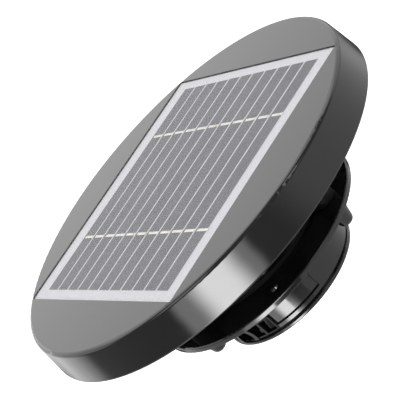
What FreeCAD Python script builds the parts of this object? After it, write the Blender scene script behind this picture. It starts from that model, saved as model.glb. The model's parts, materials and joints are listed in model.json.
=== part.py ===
"""A solar attic fan: a round cap with a solar panel in its face stands on three posts over a
roof flange, and the flange's collar holds a small direct-current motor and its impeller.

Millimetres, +Z up along the fan's axis. The origin is on that axis, in the plane of the
flange's underside, which sits on the roof. The strips of solar cell run along Y.
"""
import FreeCAD, Part
import math
import os

Vector = FreeCAD.Vector
ORIGIN = Vector(0, 0, 0)
UP = Vector(0, 0, 1)

# Cap: a shallow moulded dish with a slightly flared skirt.
FACE_RADIUS = 98.0
SKIRT_RADIUS = 100.0
SKIRT_HEIGHT = 17.8
COVER_WALL = 2.4
COVER_EDGE_ROUND = 2.0
COVER_LIP_ROUND = 0.9
FACE_Z = 52.3
SKIRT_Z = FACE_Z - SKIRT_HEIGHT
RIB_WIDTH = 1.6
RIB_INNER_RADIUS = 14.0
RIB_DROP = 4.0

# Solar panel: eleven strips cut from 125 mm square wafers, on a white board under clear film.
PANEL_SIDE = 135.8
PANEL_GAP = 0.5
PANEL_CORNER = 1.0
PANEL_SINK = 0.1
SEAL_THICKNESS = 0.5
SEAL_WIDTH = 7.0
BOARD_THICKNESS = 1.6
FILM_THICKNESS = 0.6
CELL_COUNT = 11
CELL_WIDTH = 10.0
CELL_GAP = 0.8
CELL_LENGTH = 125.0
CELL_THICKNESS = 0.2
CELL_FIELD_SHIFT = 0.8
RIBBON_WIDTH = 1.4
RIBBON_THICKNESS = 0.12
RIBBON_INSET = 1.7
RIBBON_REACH = 0.65
PANEL_THICKNESS = SEAL_THICKNESS + BOARD_THICKNESS + FILM_THICKNESS
RECESS_FLOOR_Z = FACE_Z - PANEL_SINK - PANEL_THICKNESS
TRAY_Z = RECESS_FLOOR_Z - COVER_WALL
BOARD_Z = RECESS_FLOOR_Z + SEAL_THICKNESS
FILM_Z = BOARD_Z + BOARD_THICKNESS

# Three posts and the long screws that clamp cap, post and flange together.
POST_AZIMUTHS = (-90.0, 30.0, 150.0)
BETWEEN_POSTS = (-30.0, 90.0, 210.0)
POST_CIRCLE = 47.4
POST_RADIUS = 6.0
POST_BORE = 2.0
SOCKET_WALL = 2.0
SOCKET_DEPTH = 2.8
SCREW_RADIUS = 1.75
SCREW_HEAD_RADIUS = 3.4
SCREW_HEAD_HEIGHT = 2.1
SCREW_POCKET_RADIUS = 3.9
SCREW_POCKET_DEPTH = 2.3
SCREW_SEAT_THICKNESS = 2.2
POST_TOP_Z = RECESS_FLOOR_Z - SCREW_POCKET_DEPTH - SCREW_SEAT_THICKNESS

# Roof flange, its three blind screw bosses and the collar below it.
FLANGE_RADIUS = 60.0
FLANGE_THICKNESS = 3.1
BOSS_RADIUS = 6.6
BOSS_TIP_RADIUS = 3.3
BOSS_DEPTH = 13.2
BOSS_BORE_DEPTH = 9.0
ROOF_HOLE_RADIUS = 2.25
ROOF_HOLE_CIRCLE = 51.0
SEAL_GROOVE_INNER = 56.0
SEAL_GROOVE_OUTER = 58.6
SEAL_GROOVE_DEPTH = 1.4
COLLAR_RADIUS = 38.2
COLLAR_BORE = 34.5
COLLAR_DEPTH = 21.4
COLLAR_CHAMFER = 0.5
PLAIN_BAND = 9.0
RECESS_DEPTH = 1.0
RECESS_LIP = 2.3
RECESS_BEVEL = 0.6
RECESS_ARC = (-51.4, -10.7)
WINDOW_ARCS = ((-75.5, -63.3), (-61.6, -52.9))
WINDOW_SILL_Z = -20.1
WINDOW_HEAD_Z = -12.6
WINDOW_FRAME_ARC = (-77.0, -51.8)
WINDOW_FRAME_RADIUS = 38.6
WINDOW_FRAME = 0.6
ARCH_AZIMUTH = -81.0
ARCH_WIDTH = 9.6
ARCH_HEAD_Z = -13.6
ARCH_SILL_Z = -19.6
ARCH_RIM = 2.1
ARCH_RIM_RADIUS = 39.2
HALF_TURNS = (0.0, 180.0)

# Intake grille: a flat ring and spider that snaps into the collar's windows.
GRILLE_RADIUS = 38.65
GRILLE_THICKNESS = 2.0
GRILLE_GAP = 0.6
GRILLE_SHOULDER = 37.4
GRILLE_OPENING = 32.5
GRILLE_RING_RADII = (8.0, 14.0, 20.0, 26.0)
GRILLE_BAR = 1.6
GRILLE_SPOKES = 6
GRILLE_HUB = 3.5
TAB_AZIMUTHS = (-66.4, -57.3)
TAB_WIDTH = 3.4
TAB_INNER = 32.6
TAB_OUTER = 34.35
TAB_HOOK = 1.9
SCREEN_CLEARANCE = 0.1
GRILLE_TOP_Z = -COLLAR_DEPTH - GRILLE_GAP
GRILLE_Z = GRILLE_TOP_Z - GRILLE_THICKNESS

# Motor bracket: a ring on the flange, three arms and a cup around the motor.
BRACKET_RING_INNER = 34.6
BRACKET_RING_OUTER = 40.5
BRACKET_THICKNESS = 2.0
ARM_WIDTH = 3.4
ARM_HEIGHT = 4.2
CUP_INNER = 12.3
CUP_WALL = 1.6
CUP_FLOOR = 1.5
CUP_HEIGHT = 18.0
BRACKET_SCREW_CIRCLE = 36.4
BRACKET_SCREW_RADIUS = 1.1
BRACKET_SCREW_LENGTH = 6.0
BRACKET_SCREW_HEAD = 1.9
BRACKET_SCREW_HEAD_HEIGHT = 1.4
CUP_Z = FLANGE_THICKNESS
CUP_TOP_Z = CUP_Z + CUP_HEIGHT
COVER_CAP_HEIGHT = 6.0

# Motor: a 24 mm can motor with a 2 mm shaft, output end down.
CAN_RADIUS = 12.2
CAN_WALL = 0.8
CAN_LENGTH = 16.0
SHAFT_RADIUS = 1.0
BUSH_CLEARANCE = 0.03
BUSH_RADIUS = 3.0
BUSH_LENGTH = 3.6
REAR_BUSH_RADIUS = 2.5
REAR_BUSH_LENGTH = 2.2
END_CAP_THICKNESS = 1.4
END_CAP_PLUG = 1.2
END_CAP_BOSS = 4.0
MAGNET_INNER = 9.3
MAGNET_ARC = 116.0
MAGNET_LENGTH = 9.6
CORE_RADIUS = 8.9
CORE_LENGTH = 6.8
CORE_HUB = 3.1
POLE_COUNT = 3
POLE_STEM = 2.4
POLE_SHOE_ARC = 88.0
POLE_SHOE_INNER = 7.6
COIL_WIDTH = 6.2
COIL_BULGE = 1.1
COMMUTATOR_RADIUS = 2.4
COMMUTATOR_LENGTH = 1.4
BRUSH_CLEARANCE = 0.05
BRUSH_LENGTH = 3.4
BRUSH_WIDTH = 1.0
WASHER_RADIUS = 2.3
WASHER_THICKNESS = 0.5
TERMINAL_X = 7.0
TERMINAL_WIDTH = 2.4
TERMINAL_THICKNESS = 0.5
TERMINAL_RISE = 2.6
MOTOR_SCREW_RADIUS = 0.95
MOTOR_SCREW_CIRCLE = 7.5
MOTOR_SCREW_HEAD = 1.7
MOTOR_SCREW_HEAD_HEIGHT = 1.1
CAN_Z = CUP_Z + CUP_FLOOR
CAN_TOP_Z = CAN_Z + CAN_LENGTH
FRONT_BUSH_Z = CUP_Z + 0.3
MAGNET_Z = CAN_Z + 3.2
CORE_Z = MAGNET_Z + (MAGNET_LENGTH - CORE_LENGTH) / 2
COMMUTATOR_Z = CORE_Z + CORE_LENGTH + COIL_BULGE + 0.2
BRUSH_Z = COMMUTATOR_Z + (COMMUTATOR_LENGTH - BRUSH_WIDTH) / 2
REAR_BUSH_Z = CAN_TOP_Z - END_CAP_PLUG
END_CAP_TOP_Z = CAN_TOP_Z + END_CAP_THICKNESS

# Impeller: six cambered blades on a domed hub, pressed on the shaft.
BLADE_COUNT = 6
HUB_RADIUS = 9.0
HUB_WALL = 1.5
HUB_TOP_Z = 1.4
HUB_Z = -9.6
HUB_CORE_RADIUS = 2.6
BLADE_TIP_RADIUS = 32.2
BLADE_THICKNESS = 1.3
BLADE_MIDDLE_Z = -5.2
BLADE_ROOT = {"radius": 7.9, "chord": 11.5, "pitch": 48.0, "camber": 1.3}
BLADE_TIP = {"radius": 34.0, "chord": 22.0, "pitch": 25.0, "camber": 1.8}

# Leads from the panel's terminals to the motor's, and the grommet that seals them.
LEAD_RADIUS = 0.65
LEAD_TOP_X = 4.5
LEAD_BEND_LOW_Z = 33.0
LEAD_BEND_HIGH_Z = 41.0
LEAD_HOLE_RADIUS = 0.75
ARC_SHARE = 0.45
GROMMET_RADIUS = 6.8
GROMMET_LIP_RADIUS = 8.3
GROMMET_LIP = 1.2
PAD_SIZE = 4.0
PAD_THICKNESS = 0.3


def rounded_wire(corners):
    """A closed wire in the XZ plane through (x, z, radius) corners, each with its own rounding."""
    points = [Vector(x, 0, z) for x, z, _ in corners]
    bends = []
    for index, (_, _, radius) in enumerate(corners):
        corner = points[index]
        back = (points[index - 1] - corner).normalize()
        ahead = (points[(index + 1) % len(points)] - corner).normalize()
        if radius == 0:
            bends.append((corner, None, corner))
            continue
        half = back.getAngle(ahead) / 2
        reach = radius / math.tan(half)
        inward = (back + ahead).normalize() * (radius / math.sin(half) - radius)
        bends.append((corner + back * reach, corner + inward, corner + ahead * reach))
    edges = []
    for index, (start, middle, end) in enumerate(bends):
        if middle:
            edges.append(Part.Arc(start, middle, end).toShape())
        following = bends[(index + 1) % len(bends)][0]
        edges.append(Part.LineSegment(end, following).toShape())
    return Part.Wire(edges)


def turned(corners, start=0.0, sweep=360.0):
    """The solid that a rounded outline makes when it turns about the fan's axis."""
    face = Part.Face(rounded_wire(corners))
    face.rotate(ORIGIN, UP, start)
    return face.revolve(ORIGIN, UP, sweep)


def ring(inner, outer, low, high, start=0.0, sweep=360.0, rounding=0.0):
    """A flat ring, or an arc of one, between two radii and two heights."""
    corners = [
        (outer, low, rounding),
        (outer, high, rounding),
        (inner, high, rounding),
        (inner, low, rounding),
    ]
    return turned(corners, start, sweep)


def rod(radius, low, high, x=0.0, y=0.0):
    """An upright cylinder between two heights."""
    return Part.makeCylinder(radius, high - low, Vector(x, y, low))


def block(x_range, y_range, z_range):
    """A box between two limits along each axis."""
    sizes = [high - low for low, high in (x_range, y_range, z_range)]
    return Part.makeBox(*sizes, Vector(x_range[0], y_range[0], z_range[0]))


def slab(side, low, high, corner=0.0):
    """A centred square slab with rounded corners."""
    shape = block((-side / 2, side / 2), (-side / 2, side / 2), (low, high))
    if corner == 0:
        return shape
    uprights = [edge for edge in shape.Edges if abs(edge.tangentAt(edge.FirstParameter).z) > 0.9]
    return shape.makeFillet(corner, uprights)


def bar(azimuth, inner, outer, width, low, high):
    """A straight radial bar, centred on an azimuth."""
    shape = block((inner, outer), (-width / 2, width / 2), (low, high))
    return shape.rotated(ORIGIN, UP, azimuth)


def at_circle(shape, radius, azimuths):
    """Copies of a shape made on the axis, moved out to a circle at each azimuth."""
    moved = shape.translated(Vector(radius, 0, 0))
    return [moved.rotated(ORIGIN, UP, azimuth) for azimuth in azimuths]


def joined(shapes):
    """One solid from touching or overlapping shapes, without the seams between them."""
    return shapes[0].multiFuse(shapes[1:]).removeSplitter()


def pan_screw(radius, length, head_radius, head_height, seat_z):
    """A pan-head screw on the axis, pointing down, with a cross slot in its head."""
    corners = [
        (0, seat_z + head_height, 0),
        (head_radius, seat_z + head_height, head_height * 0.6),
        (head_radius, seat_z, 0),
        (radius, seat_z, 0),
        (radius, seat_z - length + radius, 0),
        (radius * 0.3, seat_z - length, 0),
        (0, seat_z - length, 0),
    ]
    slot_width = head_radius * 0.26
    slot_z = (seat_z + head_height * 0.45, seat_z + head_height + 1)
    slots = [bar(turn, -head_radius * 0.6, head_radius * 0.6, slot_width, *slot_z) for turn in (0, 90)]
    return turned(corners).cut(slots[0]).cut(slots[1])


def make_top_cover():
    """The dish, the tray for the panel, the sockets on its underside and their ribs."""
    top_underside = FACE_Z - COVER_WALL
    shell = turned([
        (0, FACE_Z, 0),
        (FACE_RADIUS, FACE_Z, COVER_EDGE_ROUND),
        (SKIRT_RADIUS, SKIRT_Z, COVER_LIP_ROUND),
        (SKIRT_RADIUS - COVER_WALL, SKIRT_Z, COVER_LIP_ROUND),
        (FACE_RADIUS - COVER_WALL, top_underside, 1.5),
        (0, top_underside, 0),
    ])
    recess_side = PANEL_SIDE + 2 * PANEL_GAP
    tray = slab(recess_side + 2 * COVER_WALL, TRAY_Z, top_underside + 0.2)
    tray = tray.common(rod(FACE_RADIUS - 1.0, TRAY_Z, FACE_Z))
    socket = rod(POST_RADIUS + SOCKET_WALL, POST_TOP_Z - SOCKET_DEPTH, TRAY_Z + 0.2)
    sockets = at_circle(socket, POST_CIRCLE, POST_AZIMUTHS)
    rib_z = (TRAY_Z - RIB_DROP, top_underside + 0.2)
    ribs = [
        bar(azimuth, RIB_INNER_RADIUS - RIB_WIDTH / 2, FACE_RADIUS - 1.5, RIB_WIDTH, *rib_z)
        for azimuth in POST_AZIMUTHS + BETWEEN_POSTS
    ]
    rib_ring = ring(RIB_INNER_RADIUS - RIB_WIDTH, RIB_INNER_RADIUS, rib_z[0], TRAY_Z + 0.2)
    cover = joined([shell, tray, rib_ring] + sockets + ribs)
    recess = slab(recess_side, RECESS_FLOOR_Z, FACE_Z + 1, PANEL_CORNER)
    cover = cover.cut(recess).cut(rod(GROMMET_RADIUS, TRAY_Z - 1, FACE_Z))
    seat_z = RECESS_FLOOR_Z - SCREW_POCKET_DEPTH
    pockets = (
        at_circle(rod(SCREW_POCKET_RADIUS, seat_z, FACE_Z), POST_CIRCLE, POST_AZIMUTHS)
        + at_circle(rod(POST_BORE, TRAY_Z - SOCKET_DEPTH * 3, FACE_Z), POST_CIRCLE, POST_AZIMUTHS)
        + at_circle(rod(POST_RADIUS + 0.05, SKIRT_Z, POST_TOP_Z), POST_CIRCLE, POST_AZIMUTHS)
    )
    for pocket in pockets:
        cover = cover.cut(pocket)
    return cover


def make_panel_seal():
    """A closed frame of adhesive foam between the tray and the board's edge."""
    outer = slab(PANEL_SIDE, RECESS_FLOOR_Z, BOARD_Z, PANEL_CORNER)
    inner = slab(PANEL_SIDE - 2 * SEAL_WIDTH, RECESS_FLOOR_Z, BOARD_Z)
    return outer.cut(inner)


def make_panel_board():
    return slab(PANEL_SIDE, BOARD_Z, FILM_Z, PANEL_CORNER)


def cell_edges():
    """The low X of each strip of cell."""
    field = CELL_COUNT * CELL_WIDTH + (CELL_COUNT - 1) * CELL_GAP
    first = CELL_FIELD_SHIFT - field / 2
    return [first + index * (CELL_WIDTH + CELL_GAP) for index in range(CELL_COUNT)]


def make_solar_cells():
    y_range = (-CELL_LENGTH / 2, CELL_LENGTH / 2)
    z_range = (FILM_Z, FILM_Z + CELL_THICKNESS)
    return [block((low, low + CELL_WIDTH), y_range, z_range) for low in cell_edges()]


def make_cell_ribbons():
    """A short tinned ribbon on each strip, into the gap beside it, at each quarter of its length."""
    low_z = FILM_Z + CELL_THICKNESS
    ribbons = []
    for middle in (-CELL_LENGTH / 4, CELL_LENGTH / 4):
        y_range = (middle - RIBBON_WIDTH / 2, middle + RIBBON_WIDTH / 2)
        for edge in cell_edges():
            x_range = (edge + RIBBON_INSET, edge + CELL_WIDTH + RIBBON_REACH)
            ribbons.append(block(x_range, y_range, (low_z, low_z + RIBBON_THICKNESS)))
    return ribbons


def make_panel_film():
    """Clear film poured over the board, around the cells and ribbons."""
    film = slab(PANEL_SIDE, FILM_Z, FILM_Z + FILM_THICKNESS, PANEL_CORNER)
    for buried in make_solar_cells() + make_cell_ribbons():
        film = film.cut(buried)
    return film


def make_panel_terminals():
    """Two solder pads under the board, over the grommet."""
    half = PAD_SIZE / 2
    z_range = (BOARD_Z - PAD_THICKNESS, BOARD_Z)
    return [
        block((side * LEAD_TOP_X - half, side * LEAD_TOP_X + half), (-half, half), z_range)
        for side in (-1, 1)
    ]


def make_support_posts():
    post = ring(POST_BORE, POST_RADIUS, FLANGE_THICKNESS, POST_TOP_Z, rounding=0.3)
    return at_circle(post, POST_CIRCLE, POST_AZIMUTHS)


def make_cover_screws():
    seat_z = RECESS_FLOOR_Z - SCREW_POCKET_DEPTH
    screw = pan_screw(
        SCREW_RADIUS, seat_z + BOSS_BORE_DEPTH, SCREW_HEAD_RADIUS, SCREW_HEAD_HEIGHT, seat_z
    )
    return at_circle(screw, POST_CIRCLE, POST_AZIMUTHS)


def collar_recess():
    """The shallow panel sunk in the collar's wall, with a sloping edge above its lip."""
    start, end = RECESS_ARC
    low = -COLLAR_DEPTH + RECESS_LIP
    inner = COLLAR_RADIUS - RECESS_DEPTH
    outer = COLLAR_RADIUS + RECESS_DEPTH
    corners = [
        (outer, low - RECESS_BEVEL, 0),
        (outer, -PLAIN_BAND, 0),
        (inner, -PLAIN_BAND, 0),
        (inner, low + RECESS_BEVEL, 0),
    ]
    return turned(corners, start, end - start)


def window_frame():
    """The thickened wall around a pair of windows."""
    start, end = WINDOW_FRAME_ARC
    low = WINDOW_SILL_Z - WINDOW_FRAME
    high = WINDOW_HEAD_Z + WINDOW_FRAME
    return ring(COLLAR_BORE + 0.5, WINDOW_FRAME_RADIUS, low, high, start, end - start)


def windows():
    """The pair of windows; the first one ends behind the arched rim beside it."""
    reach = (COLLAR_BORE - 1, COLLAR_RADIUS + 3)
    return [
        ring(*reach, WINDOW_SILL_Z, WINDOW_HEAD_Z, start, end - start)
        for start, end in WINDOW_ARCS
    ]


def arch(width, inner, outer):
    """An arched block on +X, flat at its sill and half round above it."""
    half = width / 2
    centre_z = ARCH_HEAD_Z - ARCH_WIDTH / 2
    sill_z = ARCH_SILL_Z - (width - ARCH_WIDTH) / 2
    crown = Part.makeCylinder(half, outer - inner, Vector(inner, 0, centre_z), Vector(1, 0, 0))
    legs = block((inner, outer), (-half, half), (sill_z, centre_z))
    return joined([crown, legs]).rotated(ORIGIN, UP, ARCH_AZIMUTH)


def make_vent_base():
    """The roof flange with its collar and screw bosses, moulded in one."""
    body = turned([
        (COLLAR_BORE, FLANGE_THICKNESS, 1.2),
        (FLANGE_RADIUS, FLANGE_THICKNESS, 0.9),
        (FLANGE_RADIUS, 0, 0.4),
        (COLLAR_RADIUS, 0, 0),
        (COLLAR_RADIUS, -COLLAR_DEPTH + COLLAR_CHAMFER, 0),
        (COLLAR_RADIUS - COLLAR_CHAMFER, -COLLAR_DEPTH, 0),
        (COLLAR_BORE, -COLLAR_DEPTH, 0),
    ])
    boss = turned([
        (0, FLANGE_THICKNESS / 2, 0),
        (BOSS_RADIUS, FLANGE_THICKNESS / 2, 0),
        (BOSS_RADIUS, 0, 0),
        (BOSS_TIP_RADIUS, -BOSS_DEPTH, BOSS_TIP_RADIUS * 0.75),
        (0, -BOSS_DEPTH, 0),
    ])
    rim_width = ARCH_WIDTH + 2 * ARCH_RIM
    rim = arch(rim_width, COLLAR_BORE + 1, ARCH_RIM_RADIUS + 1)
    rim = rim.common(rod(ARCH_RIM_RADIUS, -COLLAR_DEPTH + 0.6, 0))
    behind_rim = arch(rim_width, COLLAR_BORE - 2, ARCH_RIM_RADIUS + 2)
    openings = [window.cut(behind_rim) for window in windows()]
    openings += [collar_recess(), arch(ARCH_WIDTH, COLLAR_BORE - 2, ARCH_RIM_RADIUS + 2)]
    raised = [shape.rotated(ORIGIN, UP, turn) for shape in (rim, window_frame()) for turn in HALF_TURNS]
    base = joined([body] + at_circle(boss, POST_CIRCLE, POST_AZIMUTHS) + raised)
    cuts = [shape.rotated(ORIGIN, UP, turn) for shape in openings for turn in HALF_TURNS]
    cuts += at_circle(rod(SCREW_RADIUS, -BOSS_BORE_DEPTH, FACE_Z), POST_CIRCLE, POST_AZIMUTHS)
    cuts += at_circle(rod(ROOF_HOLE_RADIUS, -1, FACE_Z), ROOF_HOLE_CIRCLE, BETWEEN_POSTS)
    pilot = rod(BRACKET_SCREW_RADIUS, BRACKET_THICKNESS - BRACKET_SCREW_LENGTH, FACE_Z)
    cuts += at_circle(pilot, BRACKET_SCREW_CIRCLE, BETWEEN_POSTS)
    cuts.append(ring(SEAL_GROOVE_INNER, SEAL_GROOVE_OUTER, -1, SEAL_GROOVE_DEPTH))
    for cut in cuts:
        base = base.cut(cut)
    return base


def make_roof_seal():
    """A rubber ring that fills the groove in the flange's underside."""
    return ring(SEAL_GROOVE_INNER, SEAL_GROOVE_OUTER, 0, SEAL_GROOVE_DEPTH)


def snap_tab(azimuth):
    """An upright tab inside the collar with a wedge that hooks over a window's sill."""
    hook_low = WINDOW_SILL_Z + 0.2
    top = WINDOW_HEAD_Z - 0.6
    outline = Part.makePolygon([
        Vector(TAB_INNER, 0, GRILLE_TOP_Z - 0.5),
        Vector(TAB_OUTER, 0, GRILLE_TOP_Z - 0.5),
        Vector(TAB_OUTER, 0, hook_low),
        Vector(TAB_OUTER + TAB_HOOK, 0, hook_low),
        Vector(TAB_OUTER, 0, top),
        Vector(TAB_INNER, 0, top),
        Vector(TAB_INNER, 0, GRILLE_TOP_Z - 0.5),
    ])
    tab = Part.Face(outline).extrude(Vector(0, TAB_WIDTH, 0)).translated(Vector(0, -TAB_WIDTH / 2, 0))
    return tab.rotated(ORIGIN, UP, azimuth)


def make_intake_grille():
    """A finger guard of rings and spokes, with the thin rim that shows under the collar."""
    rim = ring(GRILLE_OPENING, GRILLE_RADIUS, GRILLE_Z, GRILLE_TOP_Z, rounding=0.5)
    shoulder = ring(GRILLE_OPENING, GRILLE_SHOULDER, GRILLE_TOP_Z - 0.5, -COLLAR_DEPTH)
    bars = [
        ring(radius - GRILLE_BAR / 2, radius + GRILLE_BAR / 2, GRILLE_Z + 0.2, GRILLE_TOP_Z)
        for radius in GRILLE_RING_RADII
    ]
    bars.append(rod(GRILLE_HUB, GRILLE_Z + 0.2, GRILLE_TOP_Z))
    spokes = [
        bar(index * 360 / GRILLE_SPOKES, 1, GRILLE_OPENING + 1, GRILLE_BAR, GRILLE_Z + 0.2, GRILLE_TOP_Z)
        for index in range(GRILLE_SPOKES)
    ]
    tabs = [snap_tab(azimuth + turn) for azimuth in TAB_AZIMUTHS for turn in HALF_TURNS]
    return joined([rim, shoulder] + bars + spokes + tabs)


def make_insect_screen():
    """The fine screen laid in the grille, drawn as the thin disc that it fills."""
    return rod(GRILLE_OPENING - SCREEN_CLEARANCE, GRILLE_TOP_Z, -COLLAR_DEPTH)


def make_motor_bracket():
    """The ring that is screwed to the flange, its three arms and the motor's cup."""
    cup_radius = CUP_INNER + CUP_WALL
    plate = ring(
        BRACKET_RING_INNER, BRACKET_RING_OUTER, FLANGE_THICKNESS, FLANGE_THICKNESS + BRACKET_THICKNESS
    )
    cup = turned([
        (0, CUP_Z, 0),
        (cup_radius, CUP_Z, 0.8),
        (cup_radius, CUP_TOP_Z, 0),
        (CUP_INNER, CUP_TOP_Z, 0),
        (CUP_INNER, CAN_Z, 0),
        (0, CAN_Z, 0),
    ])
    arms = [
        bar(azimuth, CUP_INNER + 0.5, BRACKET_RING_INNER + 1, ARM_WIDTH, CUP_Z, CUP_Z + ARM_HEIGHT)
        for azimuth in BETWEEN_POSTS
    ]
    bracket = joined([plate, cup] + arms)
    head_room = rod(BRACKET_SCREW_HEAD + 0.2, FLANGE_THICKNESS + BRACKET_THICKNESS, FACE_Z)
    holes = at_circle(rod(BRACKET_SCREW_RADIUS, 0, FACE_Z), BRACKET_SCREW_CIRCLE, BETWEEN_POSTS)
    holes += at_circle(head_room, BRACKET_SCREW_CIRCLE, BETWEEN_POSTS)
    holes += at_circle(rod(MOTOR_SCREW_RADIUS, 0, CAN_Z + 1), MOTOR_SCREW_CIRCLE, (0, 180))
    holes.append(rod(BUSH_RADIUS + 0.1, 0, CAN_Z + 1))
    for hole in holes:
        bracket = bracket.cut(hole)
    return bracket


def make_bracket_screws():
    seat_z = FLANGE_THICKNESS + BRACKET_THICKNESS
    length = seat_z + BRACKET_SCREW_LENGTH - BRACKET_THICKNESS
    screw = pan_screw(
        BRACKET_SCREW_RADIUS, length, BRACKET_SCREW_HEAD, BRACKET_SCREW_HEAD_HEIGHT, seat_z
    )
    return at_circle(screw, BRACKET_SCREW_CIRCLE, BETWEEN_POSTS)


def make_motor_cover():
    """A cap that closes the motor's cup against the weather, with a hole for each lead."""
    outer = CUP_INNER + CUP_WALL
    top = CUP_TOP_Z + COVER_CAP_HEIGHT
    cap = turned([
        (0, top, 0),
        (outer, top, 1.2),
        (outer, CUP_TOP_Z, 0),
        (CAN_RADIUS, CUP_TOP_Z, 0),
        (CAN_RADIUS, top - CUP_WALL, 0.6),
        (0, top - CUP_WALL, 0),
    ])
    for side in (-1, 1):
        cap = cap.cut(rod(LEAD_HOLE_RADIUS, CUP_TOP_Z, top + 1, side * TERMINAL_X))
    return cap


def make_motor_can():
    """A drawn steel can, closed at its output end."""
    can = turned([
        (BUSH_RADIUS, CAN_Z, 0),
        (CAN_RADIUS, CAN_Z, 0.7),
        (CAN_RADIUS, CAN_TOP_Z, 0),
        (CAN_RADIUS - CAN_WALL, CAN_TOP_Z, 0),
        (CAN_RADIUS - CAN_WALL, CAN_Z + CAN_WALL, 0.3),
        (BUSH_RADIUS, CAN_Z + CAN_WALL, 0),
    ])
    for hole in at_circle(rod(MOTOR_SCREW_RADIUS, 0, CAN_Z + 2), MOTOR_SCREW_CIRCLE, (0, 180)):
        can = can.cut(hole)
    return can


def make_motor_screws():
    length = CUP_FLOOR + CAN_WALL
    screw = pan_screw(MOTOR_SCREW_RADIUS, length, MOTOR_SCREW_HEAD, MOTOR_SCREW_HEAD_HEIGHT, 0)
    upward = screw.rotated(ORIGIN, Vector(1, 0, 0), 180).translated(Vector(0, 0, CUP_Z))
    return at_circle(upward, MOTOR_SCREW_CIRCLE, (0, 180))


def make_motor_end_cap():
    """The plastic end of the motor, with the rear bush's seat and two slots for terminals."""
    inside = CAN_RADIUS - CAN_WALL
    cap = turned([
        (REAR_BUSH_RADIUS, REAR_BUSH_Z, 0),
        (inside, REAR_BUSH_Z, 0),
        (inside, CAN_TOP_Z, 0),
        (CAN_RADIUS, CAN_TOP_Z, 0),
        (CAN_RADIUS, END_CAP_TOP_Z, 0.4),
        (END_CAP_BOSS, END_CAP_TOP_Z, 0),
        (END_CAP_BOSS, END_CAP_TOP_Z + 0.8, 0.3),
        (0, END_CAP_TOP_Z + 0.8, 0),
        (0, REAR_BUSH_Z + REAR_BUSH_LENGTH, 0),
        (REAR_BUSH_RADIUS, REAR_BUSH_Z + REAR_BUSH_LENGTH, 0),
    ])
    for terminal in make_motor_terminals():
        cap = cap.cut(terminal)
    return cap


def make_motor_terminals():
    """Two upright brass tabs through the end cap, each with the arm that carries its brush."""
    brush_z = (BRUSH_Z, BRUSH_Z + BRUSH_WIDTH)
    brush_end = COMMUTATOR_RADIUS + BRUSH_CLEARANCE + BRUSH_LENGTH
    tabs = []
    for side in (0, 180):
        tab = block(
            (TERMINAL_X - TERMINAL_THICKNESS / 2, TERMINAL_X + TERMINAL_THICKNESS / 2),
            (-TERMINAL_WIDTH / 2, TERMINAL_WIDTH / 2),
            (brush_z[0], END_CAP_TOP_Z + TERMINAL_RISE),
        )
        arm = block((brush_end, TERMINAL_X), (-TERMINAL_WIDTH / 4, TERMINAL_WIDTH / 4), brush_z)
        tabs.append(joined([tab, arm]).rotated(ORIGIN, UP, side))
    return tabs


def make_motor_brushes():
    """Two carbon brushes, a hair off the commutator."""
    inner = COMMUTATOR_RADIUS + BRUSH_CLEARANCE
    y_range = (-BRUSH_WIDTH / 2, BRUSH_WIDTH / 2)
    brush = block((inner, inner + BRUSH_LENGTH), y_range, (BRUSH_Z, BRUSH_Z + BRUSH_WIDTH))
    return [brush.rotated(ORIGIN, UP, side) for side in (0, 180)]


def make_motor_magnets():
    """Two arc magnets against the can's wall."""
    outer = CAN_RADIUS - CAN_WALL
    return [
        ring(MAGNET_INNER, outer, MAGNET_Z, MAGNET_Z + MAGNET_LENGTH, middle - MAGNET_ARC / 2, MAGNET_ARC)
        for middle in (0, 180)
    ]


def make_front_bush():
    bore = SHAFT_RADIUS + BUSH_CLEARANCE
    return ring(bore, BUSH_RADIUS, FRONT_BUSH_Z, FRONT_BUSH_Z + BUSH_LENGTH)


def make_rear_bush():
    bore = SHAFT_RADIUS + BUSH_CLEARANCE
    return ring(bore, REAR_BUSH_RADIUS, REAR_BUSH_Z, REAR_BUSH_Z + REAR_BUSH_LENGTH)


def make_motor_shaft():
    top = REAR_BUSH_Z + REAR_BUSH_LENGTH - 0.3
    return rod(SHAFT_RADIUS, HUB_Z + HUB_WALL, top)


def poles(width, inner, outer, low, high):
    """One radial bar for each pole of the armature."""
    return [
        bar(index * 360 / POLE_COUNT, inner, outer, width, low, high) for index in range(POLE_COUNT)
    ]


def make_armature_core():
    """The stack of laminations: a hub, three stems and three curved shoes."""
    top = CORE_Z + CORE_LENGTH
    shoe = ring(POLE_SHOE_INNER, CORE_RADIUS, CORE_Z, top, -POLE_SHOE_ARC / 2, POLE_SHOE_ARC)
    shoes = [shoe.rotated(ORIGIN, UP, index * 360 / POLE_COUNT) for index in range(POLE_COUNT)]
    stems = poles(POLE_STEM, 1.5, POLE_SHOE_INNER + 0.4, CORE_Z, top)
    return joined([rod(CORE_HUB, CORE_Z, top)] + stems + shoes).cut(rod(SHAFT_RADIUS, CORE_Z, top))


def make_armature_coils():
    """Copper wound round each stem, as one closed solid for each coil."""
    low = CORE_Z - COIL_BULGE
    high = CORE_Z + CORE_LENGTH + COIL_BULGE
    room = ring(CORE_HUB + 0.2, POLE_SHOE_INNER - 0.1, low, high)
    stems = poles(POLE_STEM, 0, CORE_RADIUS, CORE_Z, CORE_Z + CORE_LENGTH)
    coils = poles(COIL_WIDTH, CORE_HUB + 0.3, CORE_RADIUS, low, high)
    return [coil.common(room).cut(stem) for coil, stem in zip(coils, stems)]


def make_commutator():
    """Three copper segments round a bakelite core, drawn as one grooved ring."""
    top = COMMUTATOR_Z + COMMUTATOR_LENGTH
    shape = ring(SHAFT_RADIUS, COMMUTATOR_RADIUS, COMMUTATOR_Z, top)
    for groove in poles(0.3, COMMUTATOR_RADIUS - 0.4, COMMUTATOR_RADIUS + 1, COMMUTATOR_Z, top):
        shape = shape.cut(groove.rotated(ORIGIN, UP, 60))
    return shape


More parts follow.
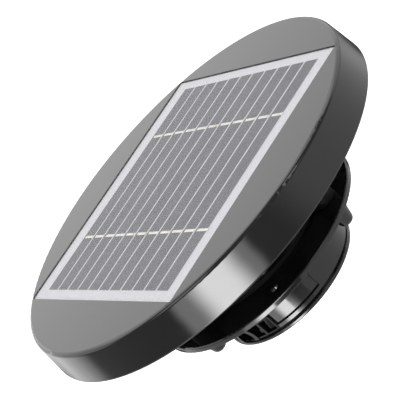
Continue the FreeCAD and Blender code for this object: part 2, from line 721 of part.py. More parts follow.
def make_thrust_washers():
    """Nylon washers on the shaft that stop the armature just short of each bush."""
    low = FRONT_BUSH_Z + BUSH_LENGTH + 0.1
    high = REAR_BUSH_Z - 0.1
    return [
        ring(SHAFT_RADIUS, WASHER_RADIUS, low, low + WASHER_THICKNESS),
        ring(SHAFT_RADIUS, WASHER_RADIUS, high - WASHER_THICKNESS, high),
    ]


def blade_section(radius, chord, pitch, camber):
    """A thin cambered section in the plane x = radius, closed by short flat ends."""
    angle = math.radians(pitch)
    along = Vector(0, math.cos(angle), math.sin(angle))
    across = Vector(0, -math.sin(angle), math.cos(angle))
    centre = Vector(radius, 0, BLADE_MIDDLE_Z)
    half = BLADE_THICKNESS / 2
    corners = {
        (end, side): centre + along * (end * chord / 2) + across * (side * half)
        for end in (-1, 1)
        for side in (-1, 1)
    }
    crowns = {side: centre + across * (camber + side * half) for side in (-1, 1)}
    return Part.Wire([
        Part.Arc(corners[-1, 1], crowns[1], corners[1, 1]).toShape(),
        Part.LineSegment(corners[1, 1], corners[1, -1]).toShape(),
        Part.Arc(corners[1, -1], crowns[-1], corners[-1, -1]).toShape(),
        Part.LineSegment(corners[-1, -1], corners[-1, 1]).toShape(),
    ])


def make_impeller():
    """A hollow hub with a domed lower end, a core that grips the shaft, and the blades."""
    hub = turned([
        (0, HUB_Z, 0),
        (HUB_RADIUS, HUB_Z, 3.0),
        (HUB_RADIUS, HUB_TOP_Z, 0.4),
        (HUB_RADIUS - HUB_WALL, HUB_TOP_Z, 0.4),
        (HUB_RADIUS - HUB_WALL, HUB_Z + HUB_WALL, 1.5),
        (0, HUB_Z + HUB_WALL, 0),
    ])
    core = rod(HUB_CORE_RADIUS, HUB_Z + 0.2, HUB_TOP_Z - 1.0)
    blade = Part.makeLoft([blade_section(**BLADE_ROOT), blade_section(**BLADE_TIP)], True, True)
    blade = blade.common(ring(HUB_RADIUS - HUB_WALL / 2, BLADE_TIP_RADIUS, HUB_Z - 5, HUB_TOP_Z + 5))
    blades = [blade.rotated(ORIGIN, UP, index * 360 / BLADE_COUNT) for index in range(BLADE_COUNT)]
    shaft_hole = rod(SHAFT_RADIUS, HUB_Z + HUB_WALL, FACE_Z)
    return joined([hub, core] + blades).cut(shaft_hole)


def lead_route(side):
    """The points of a lead, from the motor's terminal up to the panel's pad."""
    return [
        Vector(side * TERMINAL_X, 0, END_CAP_TOP_Z + TERMINAL_RISE),
        Vector(side * TERMINAL_X, 0, LEAD_BEND_LOW_Z),
        Vector(side * LEAD_TOP_X, 0, LEAD_BEND_HIGH_Z),
        Vector(side * LEAD_TOP_X, 0, BOARD_Z - PAD_THICKNESS),
    ]


def bent_path(points):
    """Straight runs joined by tangent arcs that use a fixed share of the shorter run."""
    edges = []
    start = points[0]
    for before, corner, after in zip(points, points[1:], points[2:]):
        back = before - corner
        ahead = after - corner
        reach = ARC_SHARE * min(back.Length, ahead.Length)
        half = back.getAngle(ahead) / 2
        radius = reach * math.tan(half)
        print(f"lead bend radius {radius:.1f} mm")
        back.normalize()
        ahead.normalize()
        inward = (back + ahead).normalize() * (radius / math.sin(half) - radius)
        entry = corner + back * reach
        leave = corner + ahead * reach
        edges.append(Part.LineSegment(start, entry).toShape())
        edges.append(Part.Arc(entry, corner + inward, leave).toShape())
        start = leave
    edges.append(Part.LineSegment(start, points[-1]).toShape())
    return Part.Wire(edges)


def make_lead(side):
    """One insulated lead along its route."""
    points = lead_route(side)
    path = bent_path(points)
    section = Part.Wire(Part.makeCircle(LEAD_RADIUS, points[0], UP))
    tube = path.makePipeShell([section], True, False)
    expected = math.pi * LEAD_RADIUS ** 2 * path.Length
    print(f"lead {path.Length:.1f} mm long, volume {tube.Volume:.2f} of {expected:.2f} mm3")
    return tube


def make_lead_grommet():
    """A rubber plug in the tray's hole, with a lip below and a bore for each lead."""
    plug = turned([
        (0, RECESS_FLOOR_Z, 0),
        (GROMMET_RADIUS, RECESS_FLOOR_Z, 0),
        (GROMMET_RADIUS, TRAY_Z, 0),
        (GROMMET_LIP_RADIUS, TRAY_Z, 0),
        (GROMMET_LIP_RADIUS, TRAY_Z - GROMMET_LIP, 0.5),
        (0, TRAY_Z - GROMMET_LIP, 0),
    ])
    for side in (-1, 1):
        plug = plug.cut(rod(LEAD_RADIUS, TRAY_Z - 5, FACE_Z, side * LEAD_TOP_X))
    return plug


NODES = {
    "top_cover": make_top_cover,
    "panel_seal": make_panel_seal,
    "panel_board": make_panel_board,
    "solar_cells": make_solar_cells,
    "cell_ribbons": make_cell_ribbons,
    "panel_film": make_panel_film,
    "panel_terminals": make_panel_terminals,
    "lead_grommet": make_lead_grommet,
    "lead_red": lambda: make_lead(1),
    "lead_black": lambda: make_lead(-1),
    "support_posts": make_support_posts,
    "cover_screws": make_cover_screws,
    "vent_base": make_vent_base,
    "roof_seal": make_roof_seal,
    "intake_grille": make_intake_grille,
    "insect_screen": make_insect_screen,
    "motor_bracket": make_motor_bracket,
    "bracket_screws": make_bracket_screws,
    "motor_cover": make_motor_cover,
    "motor_can": make_motor_can,
    "motor_screws": make_motor_screws,
    "motor_end_cap": make_motor_end_cap,
    "motor_terminals": make_motor_terminals,
    "motor_brushes": make_motor_brushes,
    "motor_magnets": make_motor_magnets,
    "front_bush": make_front_bush,
    "rear_bush": make_rear_bush,
    "motor_shaft": make_motor_shaft,
    "armature_core": make_armature_core,
    "armature_coils": make_armature_coils,
    "commutator": make_commutator,
    "thrust_washers": make_thrust_washers,
    "impeller": make_impeller,
}


def write_nodes():
    """Writes each node to its own file, a group of solids as one compound."""
    os.makedirs("parts", exist_ok=True)
    for name, make in NODES.items():
        shape = make()
        if isinstance(shape, list):
            shape = Part.makeCompound(shape)
        valid = shape.isValid()
        print(f"{name}: {len(shape.Solids)} solids, {shape.Volume:.1f} mm3, valid {valid}")
        shape.exportStep(f"parts/{name}.step")


write_nodes()
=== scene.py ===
"""The looks of the solar attic fan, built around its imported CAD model. Metres, +Z up."""
import bpy
import json
import math
from mathutils import Matrix, Vector


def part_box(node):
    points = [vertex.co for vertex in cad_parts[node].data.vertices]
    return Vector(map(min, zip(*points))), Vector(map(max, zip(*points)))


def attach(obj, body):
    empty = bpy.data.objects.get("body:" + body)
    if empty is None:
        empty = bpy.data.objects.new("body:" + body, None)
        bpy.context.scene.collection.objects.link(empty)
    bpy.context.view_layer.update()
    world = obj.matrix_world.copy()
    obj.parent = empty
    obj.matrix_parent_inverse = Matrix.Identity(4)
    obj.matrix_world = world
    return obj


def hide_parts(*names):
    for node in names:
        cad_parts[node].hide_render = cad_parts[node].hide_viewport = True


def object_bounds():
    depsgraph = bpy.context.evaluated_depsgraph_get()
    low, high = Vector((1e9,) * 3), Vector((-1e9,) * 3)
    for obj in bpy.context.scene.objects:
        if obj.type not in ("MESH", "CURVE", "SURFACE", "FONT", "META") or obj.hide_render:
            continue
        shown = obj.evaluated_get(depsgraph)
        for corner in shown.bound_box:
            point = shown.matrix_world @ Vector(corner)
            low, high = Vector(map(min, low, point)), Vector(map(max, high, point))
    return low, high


MM = 0.001

# The camera's place, seen from the centre of the cap's face, and the point on its optical axis.
# Angles here and in the studio are in degrees.
CAMERA_AZIMUTH = -21.54
CAMERA_ELEVATION = 20.28
CAMERA_DISTANCE = 672 * MM
CAMERA_ROLL = 48.52
CAMERA_LENS = 132.83
AIM_OFFSET = Vector((-7.1, 2.8, -18.8)) * MM
CLIP_START = 0.05
CLIP_END = 60

# The studio: a pale floor well below the part and an even sky.
FLOOR_DROP = 0.6
FLOOR_RADIUS = 13.0
FLOOR_SIDES = 64
FLOOR_GLOW = 0.45
SKY_LIGHT = 1.25

# A dark bowl that ends just below the cap's face, which keeps stray light out of the gap under the cap.
FLAG_RADIUS = 0.3
FLAG_BOTTOM = -87.0
FLAG_TOP = 9.0
FLAG_STEP = 6.0
FLAG_LIGHT = 0.2

# What reflections see: a dim room with soft boxes, each one laid over those before it.
ROOM_RADIUS = 2.2
ROOM_REACH = 88.0
ROOM_STEP = 1.5
ROOM_LIGHT = 0.36

# A leaning box moves sideways by its lean for each degree of elevation between these two.
LEAN_HIGH = -8.0
LEAN_LOW = -22.0

SOFT_BOXES = {
    # name: (middle azimuth from the camera's, half width, soft edge,
    #        lowest and highest elevation, soft edge, lean, light)
    "far_sky": (180, 82, 16, 8, 90, 4, 0.0, 1.45),
    "far_sky_left": (-162, 14, 22, 8, 40, 6, 0.0, 1.65),
    "overhead": (180, 82, 12, 44, 84, 10, 0.0, 2.5),
    "high_left": (-46, 14, 8, 26, 52, 8, 0.0, 2.4),
    "high_right": (36, 10, 8, 26, 52, 8, 0.0, 2.8),
    "low_room": (0, 180, 1, -90, -20, 2, 0.0, 1.05),
    "far_low": (180, 32, 14, -90, -19, 2, 0.0, 0.08),
    "right_wall": (84, 42, 28, -18, 2, 2, 0.0, 1.05),
    "left_wall": (-152, 34, 10, -18, 2, 2, 0.0, 1.15),
    "left_door": (-133, 6, 14, -18, 2, 2, 0.0, 1.7),
    "key_cloth": (-23, 21, 6, -30, -1, 3, 1.0, 3.3),
    "key_lamp": (-22, 5, 13, -30, -1, 3, 0.75, 16.5),
    "low_gap": (-9, 15, 2, -26, -18, 2, 0.0, 0.3),
}

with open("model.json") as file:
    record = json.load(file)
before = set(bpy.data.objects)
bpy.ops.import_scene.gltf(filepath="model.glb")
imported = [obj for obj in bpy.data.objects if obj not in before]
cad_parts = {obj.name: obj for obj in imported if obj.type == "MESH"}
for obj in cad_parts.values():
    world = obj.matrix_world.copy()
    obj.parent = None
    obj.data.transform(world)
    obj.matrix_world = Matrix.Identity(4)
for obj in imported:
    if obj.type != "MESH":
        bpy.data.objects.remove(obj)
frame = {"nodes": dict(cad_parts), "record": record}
CAD_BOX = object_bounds()
SCENE = bpy.context.scene


# Geometry helpers

def toward(azimuth, elevation):
    """The unit vector at an azimuth from +X and an elevation, in degrees."""
    a = math.radians(azimuth)
    e = math.radians(elevation)
    return Vector((math.cos(a) * math.cos(e), math.sin(a) * math.cos(e), math.sin(e)))


def piece(name, vertices, faces, smooth=True):
    """A new mesh object in the scene."""
    mesh = bpy.data.meshes.new(name)
    mesh.from_pydata(vertices, [], faces)
    mesh.polygons.foreach_set("use_smooth", [smooth] * len(mesh.polygons))
    made = bpy.data.objects.new(name, mesh)
    SCENE.collection.objects.link(made)
    return made


# Material helpers: positions are object coordinates, so scales are in features per metre.

class Finish:
    """A node material with one Principled shader, built up from a few kinds of pattern."""

    def __init__(self, name, **values):
        self.material = bpy.data.materials.new(name)
        self.material.use_nodes = True
        self.tree = self.material.node_tree
        self.shader = self.tree.nodes["Principled BSDF"]
        for socket, value in values.items():
            self.shader.inputs[socket.replace("_", " ")].default_value = value
        self.place = self.add("ShaderNodeTexCoord").outputs["Object"]
        self.height = None

    def feed(self, target, value):
        """Links an input to a socket or sets it to a value."""
        if isinstance(value, bpy.types.NodeSocket):
            self.tree.links.new(value, target)
        else:
            target.default_value = value

    def add(self, kind, **links):
        """A node, with each named input linked to a socket or set to a value."""
        node = self.tree.nodes.new(kind)
        for name, value in links.items():
            self.feed(node.inputs[name.replace("_", " ")], value)
        return node

    def stretched(self, x, y, z):
        """Object coordinates scaled along each axis."""
        mapping = self.add("ShaderNodeMapping", Vector=self.place)
        mapping.inputs["Scale"].default_value = (x, y, z)
        return mapping.outputs["Vector"]

    def noise(self, scale, detail=3.0, roughness=0.5, place=None):
        node = self.add("ShaderNodeTexNoise", Vector=place or self.place, Scale=scale, Detail=detail)
        node.inputs["Roughness"].default_value = roughness
        return node.outputs["Fac"]

    def cells(self, scale):
        return self.add("ShaderNodeTexVoronoi", Vector=self.place, Scale=scale).outputs["Distance"]

    def waves(self, scale, direction, distortion=0.0, detail=0.0):
        node = self.add("ShaderNodeTexWave", Vector=self.place, Scale=scale, Distortion=distortion)
        node.inputs["Detail"].default_value = detail
        node.bands_direction = direction
        return node.outputs["Fac"]

    def spread(self, pattern, low, high, start=0.3, end=0.7):
        """A pattern's values between start and end, spread from low to high."""
        node = self.add("ShaderNodeMapRange", Value=pattern)
        for name, value in zip(("From Min", "From Max", "To Min", "To Max"), (start, end, low, high)):
            node.inputs[name].default_value = value
        return node.outputs["Result"]

    def blended(self, pattern, low, high, start=0.3, end=0.7):
        """A colour that goes from low to high with a pattern."""
        node = self.tree.nodes.new("ShaderNodeValToRGB")
        self.tree.links.new(pattern, node.inputs["Fac"])
        for stop, position, colour in zip(node.color_ramp.elements, (start, end), (low, high)):
            stop.position = position
            stop.color = (*colour, 1.0)
        return node.outputs["Color"]

    def summed(self, first, second, share=1.0):
        """First pattern plus a share of the second."""
        return self.computed("MULTIPLY_ADD", second, share, first)

    def mixed(self, share, low, high):
        """Low where share is zero and high where it is one; each is a colour or a socket."""
        node = self.tree.nodes.new("ShaderNodeMix")
        node.data_type = "RGBA"
        self.tree.links.new(share, node.inputs[0])
        # The node's sockets for colours are its inputs 6 and 7 and its output 2.
        for target, value in zip(node.inputs[6:8], (low, high)):
            self.feed(target, (*value, 1.0) if isinstance(value, tuple) else value)
        return node.outputs[2]

    def facing_up(self):
        """One on faces that look up and zero on those that look sideways."""
        normal = self.add("ShaderNodeTexCoord").outputs["Normal"]
        upward = self.add("ShaderNodeSeparateXYZ", Vector=normal).outputs["Z"]
        return self.spread(upward, 0.0, 1.0, 0.4, 0.6)

    def computed(self, operation, *values):
        """The result of a math node on sockets and numbers."""
        node = self.tree.nodes.new("ShaderNodeMath")
        node.operation = operation
        for target, value in zip(node.inputs, values):
            self.feed(target, value)
        return node.outputs["Value"]

    def colour(self, socket):
        self.tree.links.new(socket, self.shader.inputs["Base Color"])

    def roughness(self, socket):
        self.tree.links.new(socket, self.shader.inputs["Roughness"])

    def bump(self, pattern, height, strength=1.0):
        """Raises the surface by a pattern, height metres from its low to its high."""
        node = self.add("ShaderNodeBump", Height=pattern, Distance=height, Strength=strength)
        if self.height:
            self.tree.links.new(self.height, node.inputs["Normal"])
        self.height = node.outputs["Normal"]
        self.tree.links.new(self.height, self.shader.inputs["Normal"])


def scaled(colour, factor):
    """A colour made darker or lighter."""
    return tuple(part * factor for part in colour)


def moulded(name, colour, gloss, peel, grain, shine=0.5):
    """Moulded plastic: flow mottling, rubbed patches in its gloss, orange peel and fine grain."""
    made = Finish(name, IOR=1.5, Specular_IOR_Level=shine)
    flow = made.noise(38, 4)
    made.colour(made.blended(flow, scaled(colour, 0.88), scaled(colour, 1.12)))
    rubbed = made.summed(made.noise(55, 5, 0.6), made.noise(900, 2), 0.25)
    made.roughness(made.spread(rubbed, gloss[0], gloss[1], 0.45, 0.8))
    made.bump(made.noise(260, 2), peel)
    made.bump(made.noise(3200, 2), grain)
    return made.material


def metal(name, colour, gloss, stretch, depth=0.004 * MM):
    """Bare metal with fine marks drawn out along one direction and a little staining."""
    made = Finish(name, Metallic=1.0)
    marks = made.noise(1.0, 4, 0.6, made.stretched(*stretch))
    stain = made.noise(160, 3)
    tone = made.summed(marks, stain, 0.5)
    made.colour(made.blended(tone, scaled(colour, 0.82), colour, 0.45, 0.95))
    made.roughness(made.spread(marks, gloss[0], gloss[1]))
    made.bump(marks, depth)
    return made.material


def white_board():
    """White solder resist over a plain glass-fibre weave."""
    made = Finish("white_board", IOR=1.5)
    weave = made.summed(made.waves(650, "X", 0.4, 1.0), made.waves(650, "Y", 0.4, 1.0))
    tone = made.summed(weave, made.noise(90, 3), 0.8)
    made.colour(made.blended(tone, (0.76, 0.76, 0.80), (0.84, 0.84, 0.87), 0.4, 1.6))
    made.roughness(made.spread(made.noise(700, 3), 0.32, 0.5))
    made.bump(weave, 0.006 * MM)
    return made.material


STRIP_WIDTH = 10.0 * MM
STRIP_PITCH = 10.8 * MM
STRIP_EDGE = 0.22 * MM
STRIP_EDGE_BLUR = 0.003


def strip_edges(made):
    """One in a narrow line along both edges of each strip of cell; the strips lie along Y."""
    across = made.add("ShaderNodeSeparateXYZ", Vector=made.place).outputs["X"]
    from_first = made.computed("SUBTRACT", across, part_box("solar_cells")[0].x)
    along_pitch = made.computed("FRACT", made.computed("DIVIDE", from_first, STRIP_PITCH))
    half = STRIP_WIDTH / STRIP_PITCH / 2
    off_centre = made.computed("ABSOLUTE", made.computed("SUBTRACT", along_pitch, half))
    edge = half - STRIP_EDGE / STRIP_PITCH
    return made.spread(off_centre, 0.0, 1.0, edge - STRIP_EDGE_BLUR, edge + STRIP_EDGE_BLUR)


def silicon_cell():
    """Blue-grey silicon: fine speckle, faint silver fingers along each strip, pale sawn edges."""
    made = Finish("silicon_cell", IOR=1.58)
    speckle = made.noise(2600, 2, 0.7)
    tone = made.summed(made.noise(30, 2), made.summed(made.noise(1100, 3, 0.6), speckle), 0.5)
    face = made.blended(tone, (0.018, 0.019, 0.026), (0.050, 0.051, 0.062), 0.7, 1.3)
    fingers = made.spread(made.waves(84, "X"), 0.0, 0.07, 0.965, 0.995)
    ruled = made.mixed(fingers, face, (0.5, 0.5, 0.52))
    edged = made.mixed(strip_edges(made), ruled, (0.74, 0.74, 0.79))
    made.colour(made.mixed(made.facing_up(), (0.86, 0.86, 0.92), edged))
    made.roughness(made.spread(speckle, 0.24, 0.5, 0.35, 0.65))
    made.bump(speckle, 0.02 * MM, 0.5)
    return made.material


def clear_film():
    """Clear film with a fine frosted face, mostly seen through."""
    made = Finish("clear_film", IOR=1.45, Alpha=0.16)
    frost = made.noise(2300, 2, 0.8)
    made.colour(made.blended(frost, (0.12, 0.12, 0.14), (0.34, 0.34, 0.37), 0.35, 0.65))
    made.roughness(made.spread(frost, 0.22, 0.42, 0.35, 0.65))
    made.bump(frost, 0.03 * MM, 0.6)
    return made.material


def tinned_ribbon():
    """Tinned copper, creased by rolling, with browned flux here and there."""
    made = Finish("tinned_ribbon", Metallic=0.85)
    creases = made.noise(1.0, 3, 0.6, made.stretched(420, 2600, 420))
    flux = made.noise(330, 3, 0.7)
    made.colour(made.blended(flux, (0.42, 0.33, 0.22), (0.86, 0.84, 0.79), 0.3, 0.46))
    made.roughness(made.spread(creases, 0.28, 0.55))
    made.bump(creases, 0.02 * MM)
    return made.material


def foam_tape():
    """Closed-cell foam."""
    made = Finish("foam_tape", IOR=1.4)
    bubbles = made.cells(2200)
    made.colour(made.blended(bubbles, (0.045, 0.045, 0.045), (0.02, 0.02, 0.02)))
    made.roughness(made.spread(bubbles, 0.95, 0.8))
    made.bump(bubbles, 0.08 * MM)
    return made.material


def black_rubber():
    """Matte rubber with a dusty bloom."""
    made = Finish("black_rubber", IOR=1.5)
    bloom = made.noise(120, 5, 0.65)
    made.colour(made.blended(bloom, (0.013, 0.013, 0.013), (0.030, 0.029, 0.028)))
    made.roughness(made.spread(bloom, 0.55, 0.78))
    made.bump(made.noise(1800, 3), 0.02 * MM)
    return made.material


def sintered(name, colour, shine, metallic):
    """Pressed powder: a speckled face full of tiny pores."""
    made = Finish(name, Metallic=metallic)
    pores = made.cells(2600)
    powder = made.noise(1500, 4, 0.7)
    made.colour(made.blended(powder, scaled(colour, 0.6), scaled(colour, 1.15)))
    made.roughness(made.spread(powder, shine, shine + 0.25))
    made.bump(pores, 0.03 * MM)
    return made.material


def laminations():
    """A stack of steel sheets, with a dark varnish line between each two."""
    made = Finish("lamination_steel", Metallic=0.9)
    sheets = made.waves(1000, "Z")
    made.colour(made.blended(sheets, (0.10, 0.09, 0.09), (0.42, 0.42, 0.43), 0.02, 0.3))
    made.roughness(made.spread(made.noise(1400, 3), 0.35, 0.6))
    made.bump(sheets, 0.05 * MM)
    return made.material


def enamelled_copper():
    """Copper wire under amber enamel."""
    made = Finish("enamelled_copper", Metallic=0.9, Coat_Weight=0.6, Coat_Roughness=0.12)
    tint = made.noise(700, 3)
    made.colour(made.blended(tint, (0.42, 0.13, 0.04), (0.70, 0.30, 0.12)))
    made.roughness(made.spread(tint, 0.2, 0.36))
    made.bump(made.noise(2400, 2), 0.008 * MM)
    return made.material


MATERIALS = {
    "gloss_black_plastic": lambda: moulded(
        "gloss_black_plastic", (0.0086, 0.0090, 0.0096), (0.05, 0.11), 0.002 * MM, 0.0002 * MM
    ),
    "satin_black_plastic": lambda: moulded(
        "satin_black_plastic", (0.012, 0.012, 0.013), (0.32, 0.5), 0.006 * MM, 0.008 * MM, shine=0.2
    ),
    "impeller_plastic": lambda: moulded(
        "impeller_plastic", (0.020, 0.021, 0.023), (0.22, 0.38), 0.006 * MM, 0.004 * MM
    ),
    "motor_plastic": lambda: moulded(
        "motor_plastic", (0.70, 0.67, 0.58), (0.35, 0.55), 0.01 * MM, 0.01 * MM
    ),
    "nylon": lambda: moulded("nylon", (0.74, 0.73, 0.66), (0.3, 0.5), 0.006 * MM, 0.004 * MM),
    "red_insulation": lambda: moulded(
        "red_insulation", (0.46, 0.012, 0.014), (0.28, 0.42), 0.008 * MM, 0.004 * MM
    ),
    "black_insulation": lambda: moulded(
        "black_insulation", (0.014, 0.014, 0.015), (0.28, 0.42), 0.008 * MM, 0.004 * MM
    ),
    "white_board": white_board,
    "silicon_cell": silicon_cell,
    "clear_film": clear_film,
    "tinned_ribbon": tinned_ribbon,
    "foam_tape": foam_tape,
    "black_rubber": black_rubber,
    "screw_steel": lambda: metal("screw_steel", (0.30, 0.30, 0.29), (0.38, 0.56), (900, 900, 5200)),
    "can_steel": lambda: metal("can_steel", (0.60, 0.60, 0.57), (0.28, 0.46), (2400, 2400, 260)),
    "brass_tab": lambda: metal("brass_tab", (0.78, 0.56, 0.24), (0.26, 0.44), (2600, 700, 700)),
    "screen_wire": lambda: metal("screen_wire", (0.50, 0.50, 0.49), (0.3, 0.46), (1800, 1800, 1800)),
    "ferrite": lambda: sintered("ferrite", (0.045, 0.045, 0.048), 0.5, 0.0),
    "carbon": lambda: sintered("carbon", (0.03, 0.03, 0.031), 0.45, 0.2),
    "sintered_bronze": lambda: sintered("sintered_bronze", (0.52, 0.33, 0.16), 0.35, 0.9),
    "lamination_steel": laminations,
    "enamelled_copper": enamelled_copper,
}


def paint_cad_nodes():
    """Every CAD node takes the finish of its material slot."""
    finishes = {name: make() for name, make in MATERIALS.items()}
    for part in frame["record"]["subparts"]:
        mesh = frame["nodes"][part["node"]].data
        mesh.materials.clear()
        mesh.materials.append(finishes[part["material_slot"]])
    return finishes


# Pieces that stand for simpler CAD solids

# Wires are given by their radius. The screen's wires have so many steps per pitch.
SCREEN_PITCH = 1.7 * MM
SCREEN_WIRE = 0.13 * MM
SCREEN_SIDES = 5
SCREEN_STEPS = 3
SCREEN_INSET = 0.25 * MM
BINDING_WIRE = SCREEN_WIRE * 1.8
BINDING_SIDES = 8
BINDING_STEPS = 96

# Below this length the cross product with Z is too short to give a tube its side.
SHORT_SIDE = 0.1


def tube(path, radius, sides, closed=False):
    """Vertices and faces of a round tube along a path, capped unless it is closed."""
    vertices = []
    count = len(path)
    for index, point in enumerate(path):
        before = path[index - 1] if index or closed else point
        after = path[(index + 1) % count] if index < count - 1 or closed else point
        along = (after - before).normalized()
        side = along.cross(Vector((0, 0, 1)))
        if side.length < SHORT_SIDE:
            side = along.cross(Vector((0, 1, 0)))
        side.normalize()
        up = side.cross(along)
        for turn in range(sides):
            angle = 2 * math.pi * turn / sides
            vertices.append(point + (side * math.cos(angle) + up * math.sin(angle)) * radius)
    faces = []
    for index in range(count if closed else count - 1):
        here = index * sides
        there = (index + 1) % count * sides
        for turn in range(sides):
            step = (turn + 1) % sides
            faces.append((here + turn, here + step, there + step, there + turn))
    if not closed:
        faces.append(tuple(reversed(range(sides))))
        faces.append(tuple(range((count - 1) * sides, count * sides)))
    return vertices, faces


def merged(tubes):
    """One list of vertices and one of faces from several."""
    vertices = []
    faces = []
    for more_vertices, more_faces in tubes:
        start = len(vertices)
        vertices += more_vertices
        faces += [tuple(start + corner for corner in face) for face in more_faces]
    return vertices, faces


def woven_screen():
    """Two sets of crimped wires, each over and under the other, inside one round binding wire."""
    low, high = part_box("insect_screen")
    middle = (low + high) / 2
    radius = (high.x - low.x) / 2 - SCREEN_INSET
    lines = math.floor(radius / SCREEN_PITCH)
    tubes = []
    for turned in (False, True):
        for line in range(-lines, lines + 1):
            across = line * SCREEN_PITCH
            half = math.sqrt(max(radius ** 2 - across ** 2, 0)) - SCREEN_WIRE
            steps = math.floor(2 * half / SCREEN_PITCH * SCREEN_STEPS)
            if steps < SCREEN_STEPS:
                continue
            path = []
            for step in range(steps + 1):
                along = -half + 2 * half * step / steps
                sign = 1 if (line % 2 == 0) != turned else -1
                lift = sign * SCREEN_WIRE * math.cos(math.pi * along / SCREEN_PITCH)
                flat = Vector((across, along, lift)) if turned else Vector((along, across, lift))
                path.append(middle + flat)
            tubes.append(tube(path, SCREEN_WIRE, SCREEN_SIDES))
    rim = [middle + toward(360 * step / BINDING_STEPS, 0) * radius for step in range(BINDING_STEPS)]
    tubes.append(tube(rim, BINDING_WIRE, BINDING_SIDES, closed=True))
    made = piece("woven_screen", *merged(tubes))
    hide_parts("insect_screen")
    return made


FILM_EDGE = 0.12 * MM
FILM_SHOULDER = FILM_EDGE * 0.3
FILM_SEAT = 0.04 * MM
FILM_CORNER = 1.0 * MM
CORNER_STEPS = 6


def rounded_square(half, corner, z):
    """Points round a square with rounded corners."""
    points = []
    for quarter in range(4):
        centre = toward(45 + 90 * quarter, 0) * (half - corner) * math.sqrt(2)
        for step in range(CORNER_STEPS + 1):
            azimuth = 90 * quarter + 90 * step / CORNER_STEPS
            point = centre + toward(azimuth, 0) * corner
            points.append(Vector((point.x, point.y, z)))
    return points


def lofted(rings):
    """Faces that join closed rings of equal length, with both ends closed."""
    count = len(rings[0])
    vertices = [point for points in rings for point in points]
    faces = []
    for level in range(len(rings) - 1):
        for index in range(count):
            following = (index + 1) % count
            low = level * count
            high = low + count
            faces.append((low + index, low + following, high + following, high + index))
    faces.append(tuple(reversed(range(count))))
    faces.append(tuple(range(len(vertices) - count, len(vertices))))
    return vertices, faces


def film_sheet():
    """The film's clear layer over the ribbons, with a softened edge."""
    low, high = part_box("panel_film")
    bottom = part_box("cell_ribbons")[1].z + FILM_SEAT
    half = (high.x - low.x) / 2
    rings = [
        rounded_square(half - FILM_EDGE, FILM_CORNER, bottom),
        rounded_square(half, FILM_CORNER, bottom + FILM_SEAT),
        rounded_square(half, FILM_CORNER, high.z - FILM_EDGE),
        rounded_square(half - FILM_SHOULDER, FILM_CORNER, high.z - FILM_SHOULDER),
        rounded_square(half - FILM_EDGE, FILM_CORNER, high.z),
    ]
    made = piece("film_sheet", *lofted(rings), smooth=False)
    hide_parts("panel_film")
    return made


# Each turn of a coil is a rounded rectangle: the lower its power, the squarer its corners.
WIRE = 0.17 * MM
WIRE_SIDES = 6
COIL_COUNT = 3
COIL_TURNS = 11
TURN_STEPS = 20
TURN_POWER = 0.4
COIL_INNER = 3.45 * MM
COIL_OUTER = 7.25 * MM
COIL_HALF_WIDTH = 2.93 * MM


def squared(value):
    """A sine or cosine pushed outwards, so that a circle turns into a rounded square."""
    return math.copysign(abs(value) ** TURN_POWER, value)


def coil_windings():
    """The outer layer of copper turns round each of the armature's three stems."""
    low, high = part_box("armature_coils")
    centre_z = (low.z + high.z) / 2
    half_height = (high.z - low.z) / 2 - WIRE
    tubes = []
    for stem in range(COIL_COUNT):
        turn_matrix = Matrix.Rotation(math.radians(360 / COIL_COUNT * stem), 3, "Z")
        path = []
        steps = COIL_TURNS * TURN_STEPS
        for step in range(steps + 1):
            angle = 2 * math.pi * step / TURN_STEPS
            reach = COIL_INNER + (COIL_OUTER - COIL_INNER) * step / steps
            y = COIL_HALF_WIDTH * squared(math.cos(angle))
            z = half_height * squared(math.sin(angle))
            path.append(turn_matrix @ Vector((reach, y, z)) + Vector((0, 0, centre_z)))
        tubes.append(tube(path, WIRE, WIRE_SIDES))
    made = piece("coil_windings", *merged(tubes))
    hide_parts("armature_coils")
    return made


def add_pieces(finishes):
    """The three finer pieces, each with its finish and the body that it rides on."""
    for made, slot, body in (
        (woven_screen(), "screen_wire", "housing"),
        (film_sheet(), "clear_film", "housing"),
        (coil_windings(), "enamelled_copper", "rotor"),
    ):
        made.data.materials.append(finishes[slot])
        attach(made, body)


# The studio

def glowing(name, strength):
    """A plain white emitting material for a studio surface."""
    made = bpy.data.materials.new(name)
    made.use_nodes = True
    tree = made.node_tree
    tree.nodes.clear()
    light = tree.nodes.new("ShaderNodeEmission")
    light.inputs["Color"].default_value = (1.0, 1.0, 1.0, 1.0)
    light.inputs["Strength"].default_value = strength
    output = tree.nodes.new("ShaderNodeOutputMaterial")
    tree.links.new(light.outputs["Emission"], output.inputs["Surface"])
    return made


def hidden_from_all(made):
    """A studio object that no kind of ray sees, until one is switched on."""
    made.visible_camera = False
    made.visible_diffuse = False
    made.visible_glossy = False
    made.visible_transmission = False
    made.visible_volume_scatter = False
    made.visible_shadow = False


def soft_edge(past, width):
    """One inside an edge, zero at a width past it, and smooth between."""
    share = min(max(past / width, 0.0), 1.0)
    return 1 - share * share * (3 - 2 * share)


def room_light(azimuth, elevation):
    """The light that comes from a direction, its azimuth counted from the camera's."""
    light = ROOM_LIGHT
    for middle, half, edge, low, high, rim, lean, strength in SOFT_BOXES.values():
        middle += lean * (max(min(elevation, LEAN_HIGH), LEAN_LOW) - LEAN_HIGH)
        aside = abs((azimuth - middle + 180) % 360 - 180)
        above = max(low - elevation, elevation - high)
        cover = soft_edge(aside - half, edge) * soft_edge(above, rim)
        light += (strength - light) * cover
    return light


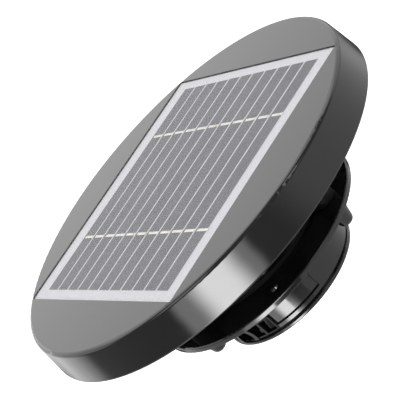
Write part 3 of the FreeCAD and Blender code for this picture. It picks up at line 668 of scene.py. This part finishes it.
def globe(name, radius, low, high, step):
    """Part of a sphere round the part, and the azimuth and elevation of each of its points."""
    turns = round(360 / step)
    levels = round((high - low) / step)
    angles = [
        (360 * turn / turns, low + (high - low) * level / levels)
        for level in range(levels + 1)
        for turn in range(turns)
    ]
    faces = []
    for level in range(levels):
        for turn in range(turns):
            here = level * turns
            following = (turn + 1) % turns
            faces.append((here + turn, here + following, here + turns + following, here + turns + turn))
    points = [toward(CAMERA_AZIMUTH + azimuth, elevation) * radius for azimuth, elevation in angles]
    return piece(name, points, faces), angles


def room():
    """The soft boxes and the dim room round them, seen only in reflections."""
    made, angles = globe("studio_room", ROOM_RADIUS, -ROOM_REACH, ROOM_REACH, ROOM_STEP)
    levels = made.data.attributes.new("light", "FLOAT", "POINT")
    for level, angle in zip(levels.data, angles):
        level.value = room_light(*angle)
    material = glowing("studio_room", ROOM_LIGHT)
    tree = material.node_tree
    reader = tree.nodes.new("ShaderNodeAttribute")
    reader.attribute_name = "light"
    emission = next(node for node in tree.nodes if node.type == "EMISSION")
    tree.links.new(reader.outputs["Fac"], emission.inputs["Strength"])
    made.data.materials.append(material)
    hidden_from_all(made)
    made.visible_glossy = True


def flag():
    """The dark bowl below the cap's face, seen only by diffuse rays and shadow rays."""
    made, _ = globe("studio_flag", FLAG_RADIUS, FLAG_BOTTOM, FLAG_TOP, FLAG_STEP)
    made.data.materials.append(glowing("studio_flag", FLAG_LIGHT))
    hidden_from_all(made)
    made.visible_diffuse = True
    made.visible_shadow = True


def sky():
    """An even dome of light."""
    world = bpy.data.worlds.new("studio")
    SCENE.world = world
    world.use_nodes = True
    background = world.node_tree.nodes["Background"]
    background.inputs["Color"].default_value = (1.0, 1.0, 1.0, 1.0)
    background.inputs["Strength"].default_value = SKY_LIGHT


def floor():
    """A plain pale floor well below the part."""
    z = CAD_BOX[0].z - FLOOR_DROP
    corners = [toward(360 * side / FLOOR_SIDES, 0) * FLOOR_RADIUS for side in range(FLOOR_SIDES)]
    vertices = [corner + Vector((0, 0, z)) for corner in corners]
    made = piece("studio_floor", vertices, [tuple(range(FLOOR_SIDES))], smooth=False)
    finish = Finish("studio_floor", Base_Color=(0.85, 0.85, 0.86, 1.0), Roughness=0.9)
    finish.shader.inputs["Emission Color"].default_value = (1.0, 1.0, 1.0, 1.0)
    finish.shader.inputs["Emission Strength"].default_value = FLOOR_GLOW
    made.data.materials.append(finish.material)
    made.visible_glossy = False
    made.visible_diffuse = False


def camera():
    """The camera at the part's three-quarter view, turned about its axis."""
    centre = Vector((0, 0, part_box("top_cover")[1].z))
    place = centre + toward(CAMERA_AZIMUTH, CAMERA_ELEVATION) * CAMERA_DISTANCE
    forward = (centre + AIM_OFFSET - place).normalized()
    level = forward.cross(Vector((0, 0, 1))).normalized()
    roll = math.radians(CAMERA_ROLL)
    up = level.cross(forward) * math.cos(roll) + level * math.sin(roll)
    right = forward.cross(up)
    data = bpy.data.cameras.new("camera")
    data.lens = CAMERA_LENS
    data.clip_start = CLIP_START
    data.clip_end = CLIP_END
    made = bpy.data.objects.new("camera", data)
    made.matrix_world = Matrix.Translation(place) @ Matrix((right, up, -forward)).transposed().to_4x4()
    SCENE.collection.objects.link(made)
    SCENE.camera = made


SCENE.view_settings.view_transform = "Standard"
camera()
sky()
floor()
room()
flag()
add_pieces(paint_cad_nodes())
